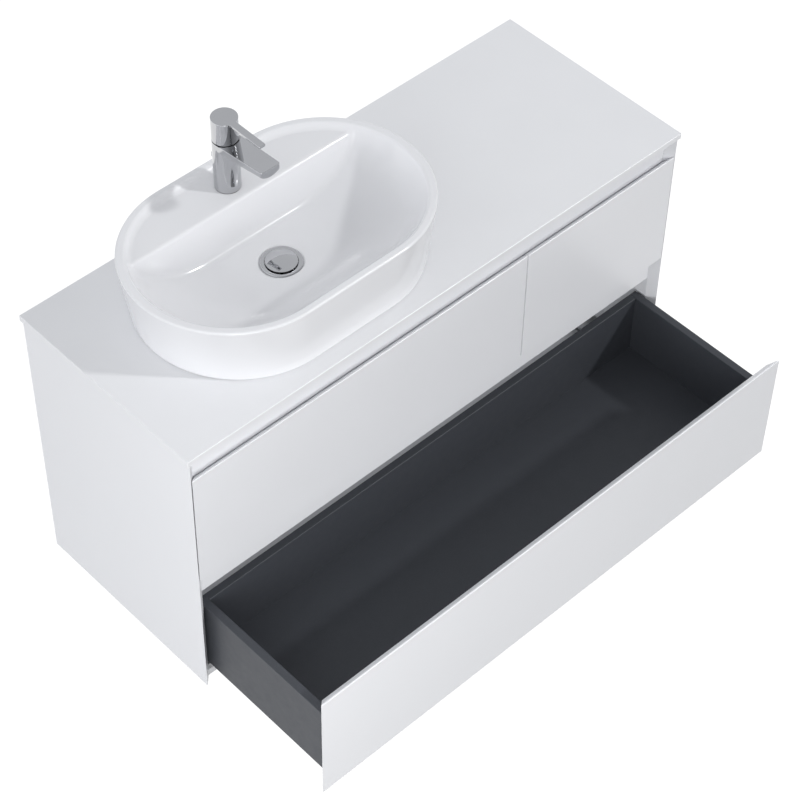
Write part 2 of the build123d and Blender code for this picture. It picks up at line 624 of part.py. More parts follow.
# ---- waste, pop-up linkage and trap ---------------------------------------
def waste():
    """Flanged waste, its washer and nut, the tailpiece with the linkage socket, and the plug."""
    rim_z = BOWL_Z + 3.0
    bore = THROAT_R - 2
    neck_r = 19.0
    neck_bore = PIPE_R + 0.2
    neck_foot = -40.0
    body = [(SEAT_R, BOWL_Z), (FLANGE_R, BOWL_Z), (FLANGE_R, BOWL_Z + 1.5), (FLANGE_R - 2, rim_z),
            (DISH_R, rim_z), (bore, 22), (bore, -18), (neck_bore, -26), (neck_bore, neck_foot),
            (neck_r, neck_foot), (neck_r, -28), (THROAT_R, -20), (THROAT_R, THROAT_Z)]
    add("waste_body", turned(BASIN_X, DRAIN_Y, body))

    under = BOWL_Z - WALL
    washer_t = 3.0
    nut_r = 37.0
    nut_h = 9.0
    washer = turned(BASIN_X, DRAIN_Y, [(25, under - washer_t), (34, under - washer_t),
                                       (34, under), (25, under)])
    nut = extrude(RegularPolygon(nut_r, 6), nut_h) - Cylinder(THROAT_R + 0.1, 3 * nut_h)
    add("waste_fixings", washer, Pos(BASIN_X, DRAIN_Y, under - washer_t - nut_h) * nut)

    top = -30.0
    foot = -235.0
    socket_r = 10.0
    socket_end = -199.0
    tube = rod(BASIN_X, DRAIN_Y, foot, top, PIPE_R)
    tube += bar_y(BASIN_X, LINK_Z, DRAIN_Y + 8, socket_end, socket_r)
    tube -= rod(BASIN_X, DRAIN_Y, foot - EPS, top + EPS, PIPE_BORE)
    tube -= bar_y(BASIN_X, LINK_Z, DRAIN_Y, BALL_Y + 3, BALL_R + 0.15)
    tube -= bar_y(BASIN_X, LINK_Z, BALL_Y + 2, socket_end + EPS, 7.8)
    add("tailpiece", tube)

    dome = [(0, PLUG_Z), (PLUG_R, PLUG_Z), (PLUG_R + 0.5, 36), (PLUG_R, 37), (22, 39.2),
            (12, 40.5), (0, 41)]
    fin_span = 2 * bore - 1
    fin_t = 2.0
    fin_h = 28.0
    plug = turned(BASIN_X, DRAIN_Y, dome)
    plug += rod(BASIN_X, DRAIN_Y, LINK_Z + 4, PLUG_Z + 0.8, 4.0)
    for turn in (0, 60, 120):
        plug += Pos(BASIN_X, DRAIN_Y, 8) * Rot(0, 0, turn) * Box(fin_span, fin_t, fin_h)
    add("plug", plug)


def linkage():
    """Lift rod with its knob, the strap below it and the rod that lifts the plug."""
    foot = -62.0
    knob_foot = 166.0
    knob_h = 10.0
    knob_r = 6.0
    knob_top = knob_foot + knob_h
    neck = knob_r - 1.5
    knob = turned(BASIN_X, ROD_Y, [(0, knob_foot), (neck, knob_foot), (knob_r, knob_foot + 2),
                                   (knob_r, knob_top - 2), (neck, knob_top), (0, knob_top)])
    add("lift_rod", rod(BASIN_X, ROD_Y, foot, knob_foot + 4, LIFT_R) + knob)

    half = 5.0
    strap_z = (-118.0, -46.0)
    clamp_z = (-58.0, -46.0)
    strap = block(BASIN_X - half, BASIN_X + half, ROD_Y - half, ROD_Y - 3.5, *strap_z)
    strap += block(BASIN_X - half, BASIN_X + half, ROD_Y - 4, ROD_Y + half, *clamp_z)
    strap -= rod(BASIN_X, ROD_Y, foot + 2, strap_z[1] + 2, LIFT_R + 0.05)
    link_hole = ARM_R + 1.7
    spare_hole = ARM_R + 0.5
    for z, radius in ((LINK_Z, link_hole), (LINK_Z - 17, spare_hole), (LINK_Z - 31, spare_hole)):
        strap -= bar_y(BASIN_X, z, ROD_Y - 7, ROD_Y - 2, radius)
    add("lift_strap", strap)
    arm = bar_y(BASIN_X, LINK_Z, DRAIN_Y - 6, ROD_Y + 8, ARM_R)
    add("pivot_rod", arm + Pos(BASIN_X, BALL_Y, LINK_Z) * Sphere(BALL_R))


def ribbed(nut, centre_z, y0, y1, upright):
    """Union nut with twelve grip grooves cut along it."""
    grooves = 12
    ring = 24.5
    groove_r = 1.6
    for step in range(grooves):
        angle = 2 * math.pi * step / grooves
        side = BASIN_X + ring * math.cos(angle)
        rise = ring * math.sin(angle)
        if upright:
            nut -= rod(side, DRAIN_Y + rise, y0, y1, groove_r)
        else:
            nut -= bar_y(side, centre_z + rise, y0, y1, groove_r)
    return nut


def trap():
    """Bottle trap: the head with its outlet, the cup screwed under it, the nuts and the pipe."""
    head_top = -150.0
    head_foot = -210.0
    head_r = 30.0
    roof = 5.0
    socket_r = 20.0
    outlet_y = DRAIN_Y + 46
    hole_r = PIPE_R + SLIP
    head = rod(BASIN_X, DRAIN_Y, head_foot, head_top, head_r)
    head += bar_y(BASIN_X, TRAP_OUT_Z, DRAIN_Y, outlet_y, socket_r)
    head -= rod(BASIN_X, DRAIN_Y, head_foot - EPS, head_top - roof, head_r - 3)
    head -= rod(BASIN_X, DRAIN_Y, head_top - roof - EPS, head_top + EPS, hole_r)
    head -= bar_y(BASIN_X, TRAP_OUT_Z, DRAIN_Y, outlet_y + EPS, hole_r)
    add("trap_head", head)

    cup_top = -201.0
    cup_foot = -262.0
    cup_r = 33.0
    bowl_r = 29.5
    cup = [(0, cup_foot), (24, cup_foot), (cup_r, cup_foot + 8), (cup_r, cup_top),
           (head_r + 0.3, cup_top), (head_r + 0.3, -212), (bowl_r, -212), (bowl_r, cup_foot + 10),
           (23, cup_foot + 4), (0, cup_foot + 4)]
    add("trap_cup", turned(BASIN_X, DRAIN_Y, cup))

    nut_r = 24.0
    nut_h = 16.0
    nut_bore = hole_r + 0.1
    inlet = rod(BASIN_X, DRAIN_Y, head_top, head_top + nut_h, nut_r)
    inlet -= rod(BASIN_X, DRAIN_Y, head_top - EPS, head_top + nut_h + EPS, nut_bore)
    outlet = bar_y(BASIN_X, TRAP_OUT_Z, outlet_y, outlet_y + nut_h, nut_r)
    outlet -= bar_y(BASIN_X, TRAP_OUT_Z, outlet_y - EPS, outlet_y + nut_h + EPS, nut_bore)
    add("trap_nuts", ribbed(inlet, 0.0, head_top - EPS, head_top + nut_h + EPS, True),
        ribbed(outlet, TRAP_OUT_Z, outlet_y - EPS, outlet_y + nut_h + EPS, False))
    inner = DRAIN_Y + 32
    pipe = bar_y(BASIN_X, TRAP_OUT_Z, inner, OUTLET_FREE, PIPE_R - 0.3)
    pipe += bar_y(BASIN_X, TRAP_OUT_Z, OUTLET_FREE, 0, PIPE_R)
    add("outlet_pipe", pipe - bar_y(BASIN_X, TRAP_OUT_Z, inner - EPS, EPS, PIPE_BORE))


cabinet()
hangers()
runners()
drawers()
basin()
tap()
cartridge()
lever()
waste()
linkage()
trap()

for name, solids in nodes.items():
    whole = solids[0] if len(solids) == 1 else Compound(children=solids)
    export_step(whole, "parts/" + name + ".step")
print(len(nodes), "nodes")
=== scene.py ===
import json
import math

import bmesh
import bpy
import numpy as np
from mathutils import Matrix, Vector


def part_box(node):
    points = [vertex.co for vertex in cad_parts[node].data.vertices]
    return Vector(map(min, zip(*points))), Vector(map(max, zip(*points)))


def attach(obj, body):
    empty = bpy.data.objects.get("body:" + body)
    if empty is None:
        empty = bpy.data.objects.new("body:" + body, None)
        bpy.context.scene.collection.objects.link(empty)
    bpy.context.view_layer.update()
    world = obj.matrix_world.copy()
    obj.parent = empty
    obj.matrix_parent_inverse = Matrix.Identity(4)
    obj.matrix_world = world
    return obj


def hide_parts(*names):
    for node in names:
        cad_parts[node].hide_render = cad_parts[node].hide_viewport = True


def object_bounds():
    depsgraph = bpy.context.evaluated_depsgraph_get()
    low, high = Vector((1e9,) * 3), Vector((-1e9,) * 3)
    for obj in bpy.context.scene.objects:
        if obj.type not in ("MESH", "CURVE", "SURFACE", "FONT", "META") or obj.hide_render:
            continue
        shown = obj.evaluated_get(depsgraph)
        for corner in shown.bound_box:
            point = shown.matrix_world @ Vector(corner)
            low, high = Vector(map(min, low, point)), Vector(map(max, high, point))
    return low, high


# A wall-hung vanity with a vessel basin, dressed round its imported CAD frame. Metres, +Z up, and
# the cabinet's front faces -Y. Heights of the basin and the tap are above the worktop.

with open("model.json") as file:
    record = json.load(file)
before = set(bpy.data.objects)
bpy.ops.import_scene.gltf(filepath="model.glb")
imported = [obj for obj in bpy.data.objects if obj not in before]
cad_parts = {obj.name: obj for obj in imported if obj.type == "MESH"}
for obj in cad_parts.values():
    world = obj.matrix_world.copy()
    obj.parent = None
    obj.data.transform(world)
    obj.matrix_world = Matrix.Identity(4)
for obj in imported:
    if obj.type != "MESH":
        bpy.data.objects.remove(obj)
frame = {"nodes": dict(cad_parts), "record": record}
cad_low, cad_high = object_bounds()

MM = 0.001
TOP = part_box("worktop")[1].z
BASIN_LOW, BASIN_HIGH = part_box("basin")
BASIN_X = (BASIN_LOW.x + BASIN_HIGH.x) / 2
BASIN_Y = (BASIN_LOW.y + BASIN_HIGH.y) / 2


# ---- materials ---------------------------------------------------------------
RANGE_LOW, RANGE_HIGH = 0.25, 0.75
TINT_LOW, TINT_HIGH = 0.3, 0.7


class Finish:
    """A material round one Principled shader, with helpers for its procedural nodes."""

    def __init__(self, name, colour, roughness, metallic=0.0, specular=0.5):
        self.material = bpy.data.materials.new(name)
        self.material.use_nodes = True
        self.material.diffuse_color = (*colour, 1.0)
        self.tree = self.material.node_tree
        self.shader = self.tree.nodes["Principled BSDF"]
        self.colour = colour
        self.shader.inputs["Base Color"].default_value = (*colour, 1.0)
        self.shader.inputs["Roughness"].default_value = roughness
        self.shader.inputs["Metallic"].default_value = metallic
        self.shader.inputs["Specular IOR Level"].default_value = specular
        self.place = self.tree.nodes.new("ShaderNodeTexCoord").outputs["Object"]
        self.height = None

    def link(self, source, target):
        self.tree.links.new(source, target)

    def stretched(self, scale):
        """Coordinates scaled by a different amount along each axis."""
        mapping = self.tree.nodes.new("ShaderNodeMapping")
        mapping.inputs["Scale"].default_value = scale
        self.link(self.place, mapping.inputs["Vector"])
        return mapping.outputs["Vector"]

    def noise(self, scale, detail=3.0, along=None):
        """Soft clouds, so many to the metre."""
        node = self.tree.nodes.new("ShaderNodeTexNoise")
        node.inputs["Scale"].default_value = scale
        node.inputs["Detail"].default_value = detail
        self.link(along or self.place, node.inputs["Vector"])
        return node.outputs["Fac"]

    def cells(self, scale, output="Distance"):
        """Grains, so many to the metre."""
        node = self.tree.nodes.new("ShaderNodeTexVoronoi")
        node.inputs["Scale"].default_value = scale
        self.link(self.place, node.inputs["Vector"])
        return node.outputs[output]

    def spread(self, value, low, high):
        """Value from a pattern of 0 to 1, mapped to a range."""
        node = self.tree.nodes.new("ShaderNodeMapRange")
        node.inputs["From Min"].default_value = RANGE_LOW
        node.inputs["From Max"].default_value = RANGE_HIGH
        node.inputs["To Min"].default_value = low
        node.inputs["To Max"].default_value = high
        self.link(value, node.inputs["Value"])
        return node.outputs["Result"]

    def tint(self, value, amount):
        """Base colour that varies by a share of itself with a pattern of 0 to 1."""
        ramp = self.tree.nodes.new("ShaderNodeValToRGB")
        darker, lighter = ramp.color_ramp.elements
        darker.position, lighter.position = TINT_LOW, TINT_HIGH
        darker.color = (*[c * (1.0 - amount) for c in self.colour], 1.0)
        lighter.color = (*[c * (1.0 + amount) for c in self.colour], 1.0)
        self.link(value, ramp.inputs["Fac"])
        self.link(ramp.outputs["Color"], self.shader.inputs["Base Color"])

    def roughen(self, value, low, high):
        self.link(self.spread(value, low, high), self.shader.inputs["Roughness"])

    def bump(self, value, depth):
        """Adds relief of that depth in metres, on top of any already there."""
        node = self.tree.nodes.new("ShaderNodeBump")
        node.inputs["Strength"].default_value = 1.0
        node.inputs["Distance"].default_value = depth
        self.link(value, node.inputs["Height"])
        if self.height is not None:
            self.link(self.height, node.inputs["Normal"])
        self.height = node.outputs["Normal"]
        self.link(self.height, self.shader.inputs["Normal"])


def lacquer():
    """Sprayed satin lacquer: a faint orange peel and slight clouds in gloss."""
    finish = Finish("white_lacquer", (0.80, 0.805, 0.825), 0.34)
    finish.tint(finish.noise(3.0), 0.006)
    finish.roughen(finish.noise(14.0), 0.30, 0.38)
    finish.bump(finish.noise(420.0, 2.0), 0.012 * MM)
    return finish.material


def laminate():
    """Pressed laminate: a fine pearl texture under a satin surface."""
    finish = Finish("worktop_laminate", (0.80, 0.805, 0.82), 0.36)
    finish.tint(finish.noise(9.0, 5.0), 0.008)
    finish.roughen(finish.noise(40.0), 0.32, 0.42)
    finish.bump(finish.cells(900.0), 0.010 * MM)
    finish.bump(finish.noise(1400.0, 2.0), 0.010 * MM)
    return finish.material


def melamine():
    """Matt melamine board with the leathery pearl of its press plate."""
    finish = Finish("anthracite_board", (0.050, 0.054, 0.063), 0.50, specular=0.35)
    finish.tint(finish.noise(420.0, 6.0), 0.05)
    finish.roughen(finish.noise(60.0), 0.47, 0.54)
    finish.bump(finish.cells(1100.0), 0.015 * MM)
    finish.bump(finish.noise(700.0, 4.0), 0.010 * MM)
    return finish.material


def zinc():
    """Zinc-plated sheet steel, drawn lengthwise."""
    finish = Finish("zinc_steel", (0.56, 0.57, 0.58), 0.38, metallic=1.0)
    finish.tint(finish.cells(220.0, "Color"), 0.05)
    drawn = finish.noise(60.0, 3.0, finish.stretched((30.0, 1.0, 30.0)))
    finish.roughen(drawn, 0.28, 0.46)
    finish.bump(drawn, 0.010 * MM)
    return finish.material


def chrome():
    """Polished chrome with the thinnest haze of wiping marks."""
    finish = Finish("chrome", (0.56, 0.565, 0.58), 0.05, metallic=1.0)
    wiped = finish.noise(30.0, 4.0, finish.stretched((1.0, 1.0, 6.0)))
    finish.tint(finish.noise(18.0), 0.01)
    finish.roughen(wiped, 0.035, 0.075)
    finish.bump(finish.noise(45.0, 1.0), 0.004 * MM)
    return finish.material


def plastic(name, colour, roughness):
    """Moulded plastic with a fine spark-eroded texture."""
    finish = Finish(name, colour, roughness)
    finish.tint(finish.noise(25.0), 0.02)
    finish.roughen(finish.noise(90.0), roughness - 0.06, roughness + 0.06)
    finish.bump(finish.noise(1600.0, 3.0), 0.015 * MM)
    return finish.material


def glaze():
    """Thick white glaze over fired clay: glossy, with a slow waviness."""
    finish = Finish("glazed_ceramic", (0.80, 0.803, 0.82), 0.14, specular=0.4)
    finish.tint(finish.noise(12.0, 2.0), 0.004)
    finish.roughen(finish.noise(35.0), 0.12, 0.18)
    finish.bump(finish.noise(26.0, 1.0), 0.02 * MM)
    return finish.material


def sealant():
    """Tooled silicone bead."""
    finish = Finish("sealant", (0.78, 0.78, 0.79), 0.30)
    finish.tint(finish.noise(40.0), 0.015)
    finish.roughen(finish.noise(70.0), 0.25, 0.40)
    finish.bump(finish.noise(120.0, 2.0), 0.05 * MM)
    return finish.material


def rubber():
    """Black moulded rubber."""
    finish = Finish("rubber", (0.018, 0.018, 0.019), 0.6)
    finish.tint(finish.noise(80.0), 0.15)
    finish.roughen(finish.noise(200.0), 0.5, 0.7)
    finish.bump(finish.noise(900.0), 0.03 * MM)
    return finish.material


def brass():
    """Turned brass: rings of the cutting tool about the upright axis."""
    finish = Finish("brass", (0.66, 0.47, 0.20), 0.28, metallic=1.0)
    turned = finish.noise(40.0, 2.0, finish.stretched((1.0, 1.0, 60.0)))
    finish.tint(finish.noise(50.0), 0.06)
    finish.roughen(turned, 0.20, 0.38)
    finish.bump(turned, 0.010 * MM)
    return finish.material


MATERIALS = {
    "white_lacquer": lacquer(),
    "worktop_laminate": laminate(),
    "anthracite_board": melamine(),
    "zinc_steel": zinc(),
    "chrome": chrome(),
    "white_plastic": plastic("white_plastic", (0.78, 0.78, 0.78), 0.34),
    "grey_plastic": plastic("grey_plastic", (0.10, 0.103, 0.11), 0.45),
    "glazed_ceramic": glaze(),
    "sealant": sealant(),
    "rubber": rubber(),
    "brass": brass(),
}


def dress_nodes():
    """Gives every CAD node the material of its slot in the record."""
    slots = {part["node"]: part["material_slot"] for part in frame["record"]["subparts"]}
    for name, node in frame["nodes"].items():
        node.data.materials.clear()
        node.data.materials.append(MATERIALS[slots[name]])


# ---- skins round a distance field ----------------------------------------------
# A field gives the distance from a solid's surface, below zero inside and above zero outside. It is
# only true near the surface, so points settle onto the surface in several short steps.
SLOPE_REACH = 0.02 * MM
LEAST_SLOPE2 = 1e-6
LEAST_STEP = 1e-12
OVERRUN = 0.1           # how far a taper goes on past its ends, as a share of its length


def join(a, b, radius):
    """Union of two solids with a fillet of that radius between them."""
    corner = np.hypot(np.maximum(radius - a, 0.0), np.maximum(radius - b, 0.0))
    return np.maximum(radius, np.minimum(a, b)) - corner


def meet(a, b, radius):
    """What two solids share, with its edge rounded to that radius."""
    return -join(-a, -b, radius)


def slope(field, points):
    """Gradient of a field at each point."""
    parts = []
    for axis in range(3):
        step = np.zeros(3)
        step[axis] = SLOPE_REACH
        parts.append((field(points + step) - field(points - step)) / (2 * SLOPE_REACH))
    return np.stack(parts, -1)


def field_normals(field, points):
    away = slope(field, points)
    away /= np.linalg.norm(away, axis=1, keepdims=True)
    return away


def settle(field, points, limit, rounds=4):
    """Moves points onto the surface where the field is zero."""
    for _ in range(rounds):
        away = slope(field, points)
        length2 = np.maximum((away ** 2).sum(-1, keepdims=True), LEAST_SLOPE2)
        step = field(points)[:, None] * away / length2
        size = np.linalg.norm(step, axis=1, keepdims=True)
        points = points - step * np.minimum(1.0, limit / np.maximum(size, LEAST_STEP))
    return points


def net(field, low, high, cell):
    """Corners and quads of the surface where a field crosses zero inside a box of cells.

    Each cell that the surface crosses gets one corner, at the mean of the places where it crosses
    the cell's edges. Each edge that it crosses gets a quad, which joins the four cells round it."""
    low = np.array(low, float)
    counts = np.ceil((np.array(high) - low) / cell).astype(int) + 1
    axes = [low[i] + cell * np.arange(counts[i]) for i in range(3)]
    value = field(np.stack(np.meshgrid(*axes, indexing="ij"), -1))
    total = np.zeros((value.size, 3))
    hits = np.zeros(value.size)
    rings = []
    for axis in range(3):
        first = np.take(value, range(counts[axis] - 1), axis)
        second = np.take(value, range(1, counts[axis]), axis)
        spots = np.argwhere((first < 0) != (second < 0))
        a = first[tuple(spots.T)]
        b = second[tuple(spots.T)]
        points = low + cell * spots
        points[:, axis] += cell * a / (a - b)
        ring = []
        for p, q in ((0, 0), (1, 0), (1, 1), (0, 1)):
            around = spots.copy()
            around[:, (axis + 1) % 3] -= p
            around[:, (axis + 2) % 3] -= q
            flat = np.ravel_multi_index(tuple(around.T), tuple(counts))
            ring.append(flat)
            hits += np.bincount(flat, minlength=value.size)
            for i in range(3):
                total[:, i] += np.bincount(flat, points[:, i], value.size)
        ring = np.stack(ring, 1)
        ring[a >= 0] = ring[a >= 0][:, ::-1]
        rings.append(ring)
    used = np.flatnonzero(hits)
    number = np.zeros(value.size, int)
    number[used] = np.arange(len(used))
    return total[used] / hits[used, None], number[np.concatenate(rings)]


def sharpen(mesh, field, bend, shortest):
    """Splits the edges over which the field's normal turns by more than bend degrees."""
    points = np.array([v.co for v in mesh.vertices])
    away = field_normals(field, points)
    build = bmesh.new()
    build.from_mesh(mesh)
    build.verts.ensure_lookup_table()
    build.edges.ensure_lookup_table()
    ends = np.array([[v.index for v in edge.verts] for edge in build.edges])
    turn = (away[ends[:, 0]] * away[ends[:, 1]]).sum(1)
    span = np.linalg.norm(points[ends[:, 0]] - points[ends[:, 1]], axis=1)
    picked = np.flatnonzero((turn < math.cos(math.radians(bend))) & (span > shortest))
    bmesh.ops.subdivide_edges(build, edges=[build.edges[i] for i in picked], cuts=1,
                              use_grid_fill=True)
    many = [face for face in build.faces if len(face.verts) > 4]
    bmesh.ops.triangulate(build, faces=many)
    build.to_mesh(mesh)
    build.free()


def shaded_piece(mesh, normals):
    """Object of a smooth-shaded mesh with a given normal at each corner."""
    mesh.polygons.foreach_set("use_smooth", [True] * len(mesh.polygons))
    mesh.normals_split_custom_set_from_vertices(normals)
    piece = bpy.data.objects.new(mesh.name, mesh)
    bpy.context.scene.collection.objects.link(piece)
    return piece


def skin(name, field, low, high, cell, rounds=2, bend=9.0):
    """Mesh piece on the surface of a field, finer where it turns, with the field's normals."""
    points, quads = net(field, low, high, cell)
    mesh = bpy.data.meshes.new(name)
    mesh.from_pydata(settle(field, points, cell / 2), [], quads)
    for turn in range(rounds):
        sharpen(mesh, field, bend, cell / 2 ** (turn + 2))
        points = settle(field, np.array([v.co for v in mesh.vertices]), cell / 4)
        mesh.vertices.foreach_set("co", points.ravel())
    mesh.update()
    return shaded_piece(mesh, field_normals(field, points))


def finish_piece(piece, slot, body, *nodes):
    """Material, slot and body of a piece, and the CAD nodes that it stands for."""
    piece.data.materials.clear()
    piece.data.materials.append(MATERIALS[slot])
    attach(piece, body)
    if nodes:
        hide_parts(*nodes)


# ---- basin ---------------------------------------------------------------------
# The outside flares from the foot to the rim. Both its outlines are drawn about a straight line
# across, RIM_HALF or FOOT_HALF to each side of the middle.
RIM_Z, FOOT_Z = 130 * MM, 1.5 * MM
RIM_HALF, RIM_R = 105 * MM, 199.5 * MM
FOOT_HALF, FOOT_R = 90 * MM, 194 * MM
RIM_ROUND, FOOT_ROUND = 4.5 * MM, 1.5 * MM

# The dish has a round floor and leaning walls, and the tap's ledge stands at its back.
BOWL_HALF = 102 * MM
BOWL_Z = 31.5 * MM
BOWL_SPHERE = 260 * MM
BOWL_WALL_R, BOWL_WALL_Z = 176.5 * MM, 98 * MM
BOWL_LEAN = math.atan2(11.5, 33.0)
BOWL_CORNER = 26 * MM
LEDGE_Z = 120 * MM
LEDGE_Y = -135 * MM
LEDGE_DRAFT = math.radians(14)
LEDGE_ROUND, LEDGE_CORNER = 5 * MM, 9 * MM

# The basin is hollow between the outer and the inner wall, up to HOLLOW_Z.
OUTER_WALL, INNER_WALL = 12 * MM, 10 * MM
HOLLOW_Z = 98 * MM
HOLLOW_CORNER, HOLLOW_TOP_CORNER = 3 * MM, 2 * MM

# The waste sits in a flat pocket over a cone, with a bore below. The cuts end in the open dish.
POCKET_R, POCKET_TOP = 39.8 * MM, 60 * MM
POCKET_CORNER, POCKET_ROUND = 1 * MM, 2.5 * MM
CONE_R = 35.6 * MM
CONE_OUT, CONE_UP = 0.68, 0.73
BORE_R, BORE_TOP = 23 * MM, 50 * MM

# The tap's and the lift rod's holes go through the ledge alone.
TAP_HOLE_R, ROD_HOLE_R = 17.5 * MM, 4 * MM
HOLE_FOOT = 90 * MM
HOLE_ROUND = 0.8 * MM

GRID_CELL = 4 * MM
GRID_MARGIN = Vector((7, 9, 6.5)) * MM


def middle_y(node):
    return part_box(node)[0].y / 2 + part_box(node)[1].y / 2


TAP_Y = middle_y("cartridge")
ROD_Y = middle_y("lift_rod")
DRAIN_Y = middle_y("waste_body")


def stadium(x, y, half_straight):
    """Distance from the straight line that an outline with round ends is drawn about."""
    return np.hypot(np.maximum(np.abs(x) - half_straight, 0.0), y)


def flared_side(x, y, z):
    """Distance outside the basin's outer side."""
    rise = np.clip((z - FOOT_Z) / (RIM_Z - FOOT_Z), -OVERRUN, 1 + OVERRUN)
    outline = stadium(x, y, FOOT_HALF + (RIM_HALF - FOOT_HALF) * rise)
    return outline - (FOOT_R + (RIM_R - FOOT_R) * rise)


def dish(x, y, z, world_y):
    """Space inside the dish, in front of the ledge and over it."""
    reach = stadium(x, y, BOWL_HALF)
    floor = np.hypot(reach, z - BOWL_Z - BOWL_SPHERE) - BOWL_SPHERE
    wall = (reach - BOWL_WALL_R) * math.cos(BOWL_LEAN)
    wall = wall - (z - BOWL_WALL_Z) * math.sin(BOWL_LEAN)
    bowl = meet(floor, wall, BOWL_CORNER)
    front = LEDGE_Y - (LEDGE_Z - z) * math.tan(LEDGE_DRAFT) - world_y
    ledge = meet(front * math.cos(LEDGE_DRAFT), z - LEDGE_Z, LEDGE_ROUND)
    return meet(bowl, -ledge, LEDGE_CORNER)


def basin_field(point):
    """Hollow double-walled basin with its drain, its tap hole and the lift rod's hole."""
    world_y = point[..., 1]
    x, y, z = point[..., 0] - BASIN_X, world_y - BASIN_Y, point[..., 2] - TOP
    outside = flared_side(x, y, z)
    solid = meet(outside, z - RIM_Z, RIM_ROUND)

    drain = np.hypot(x, world_y - DRAIN_Y)
    pocket = meet(drain - POCKET_R, BOWL_Z - z, POCKET_CORNER)
    space = join(dish(x, y, z, world_y), np.maximum(pocket, z - POCKET_TOP), POCKET_ROUND)
    solid = meet(solid, -space, RIM_ROUND)
    cone = (drain - CONE_R) * CONE_OUT - (z - BOWL_Z) * CONE_UP
    solid = np.maximum(solid, -np.maximum(np.minimum(cone, drain - BORE_R), z - BORE_TOP))

    hollow = meet(outside + OUTER_WALL, INNER_WALL - space, HOLLOW_CORNER)
    hollow = meet(hollow, z - HOLLOW_Z, HOLLOW_TOP_CORNER)
    solid = np.maximum(solid, -hollow)
    solid = meet(solid, FOOT_Z - z, FOOT_ROUND)
    for hole_y, radius in ((TAP_Y, TAP_HOLE_R), (ROD_Y, ROD_HOLE_R)):
        hole = np.hypot(x, world_y - hole_y) - radius
        solid = meet(solid, -np.maximum(hole, HOLE_FOOT - z), HOLE_ROUND)
    return solid


def basin():
    piece = skin("basin_ceramic", basin_field, BASIN_LOW - GRID_MARGIN, BASIN_HIGH + GRID_MARGIN,
                 GRID_CELL)
    finish_piece(piece, "glazed_ceramic", "cabinet", "basin")


# ---- tap ---------------------------------------------------------------------------
TAP_R = 24.4 * MM
TAP_FOOT, BODY_TOP = 121 * MM, 228.5 * MM
SEAT_R, SEAT_FOOT = 16 * MM, 195 * MM
RECESS_GAP = 1.2 * MM
FOOT_BORES = ((8.5, -5, 5.0), (-8.5, -5, 5.0), (0, 9, 4.1))     # across, forward, radius in mm
FOOT_BORE_TOP = 133 * MM

# Half the spout's width, and its depth at the sides and in the middle, are each given at its root,
# on the tap's axis, and at its tip.
SPOUT_REACH = 120 * MM
SPOUT_RISE = 11.5 * MM
SPOUT_HALF = (24.2 * MM, 21.5 * MM)
SPOUT_SIDE = (15 * MM, 10 * MM)
SPOUT_MIDDLE = (26 * MM, 18 * MM)
TIP_CORNER = 5 * MM
OUTLET_REACH = 100 * MM
OUTLET_R, OUTLET_TOP = 10 * MM, 229 * MM

# The fillet where the spout grows out of the barrel widens below the spout's sides, in mm.
FILLET, FILLET_GROWTH = 0.4, 2.0
FILLET_FADE = 6 * MM

CAP_FOOT, CAP_TOP = 231 * MM, 278 * MM
CAP_INSIDE_R, CAP_INSIDE_TOP = 21.9 * MM, 272 * MM
LEVER_REACH = 100 * MM
LEVER_HALF, LEVER_FOOT = 7 * MM, 273.5 * MM
LEVER_CORNER = 2 * MM
RELIEF_TILT = math.atan2(4.0, 10.9)
RELIEF_BACK = 14.5 * MM
POST_R, POST_FOOT, POST_TOP = 6.5 * MM, 256 * MM, 275 * MM
STEM_R, STEM_TOP = 3.55 * MM, 268 * MM
SCREW_R, SCREW_Z, SCREW_DEPTH = 2 * MM, 262 * MM, 8 * MM

EDGE = 0.4 * MM
TAP_MARGIN = Vector((3, 3, 3)) * MM


def along(forward, root, tip):
    """A size of the spout, straight from its root to its tip."""
    return root + (tip - root) * np.clip(forward / SPOUT_REACH, 0.0, 1 + OVERRUN)


def from_tap(point):
    """Across, forwards, upwards and outwards from the foot of the tap's axis."""
    x = point[..., 0] - BASIN_X
    forward = TAP_Y - point[..., 1]
    return x, forward, point[..., 2] - TOP, np.hypot(x, forward)


def tap_field(point):
    """Round body with a flat-topped, round-bellied spout that grows out of its sides."""
    x, forward, z, radius = from_tap(point)
    top = BODY_TOP + SPOUT_RISE * forward / SPOUT_REACH
    half = along(forward, *SPOUT_HALF)
    side = along(forward, *SPOUT_SIDE)
    middle = along(forward, *SPOUT_MIDDLE)
    sag = middle - side
    belly = (half ** 2 + sag ** 2) / (2 * sag)
    under = np.hypot(x, z - (top - middle + belly)) - belly
    outline = meet(np.abs(x) - half, forward - SPOUT_REACH, TIP_CORNER)
    section = meet(meet(outline, z - top, 0.7 * MM), under, 0.9 * MM)
    spout = np.maximum(section, -forward)

    barrel = meet(radius - TAP_R, TAP_FOOT - z, 0.6 * MM)
    barrel = np.maximum(barrel, z - BODY_TOP)
    below = np.clip((top - side - z) / FILLET_FADE, 0.0, 1.0)
    solid = join(barrel, spout, (FILLET + FILLET_GROWTH * below) * MM)

    recess = np.maximum(radius - TAP_R - RECESS_GAP, BODY_TOP - z)
    solid = meet(solid, -recess, 0.3 * MM)
    solid = meet(solid, -np.maximum(radius - SEAT_R, SEAT_FOOT - z), EDGE)
    outlet = np.hypot(x, forward - OUTLET_REACH) - OUTLET_R
    solid = meet(solid, -np.maximum(outlet, z - OUTLET_TOP), EDGE)
    for across, ahead, hole in FOOT_BORES:
        bore = np.hypot(x - across * MM, forward - ahead * MM) - hole * MM
        solid = np.maximum(solid, -np.maximum(bore, z - FOOT_BORE_TOP))
    return solid


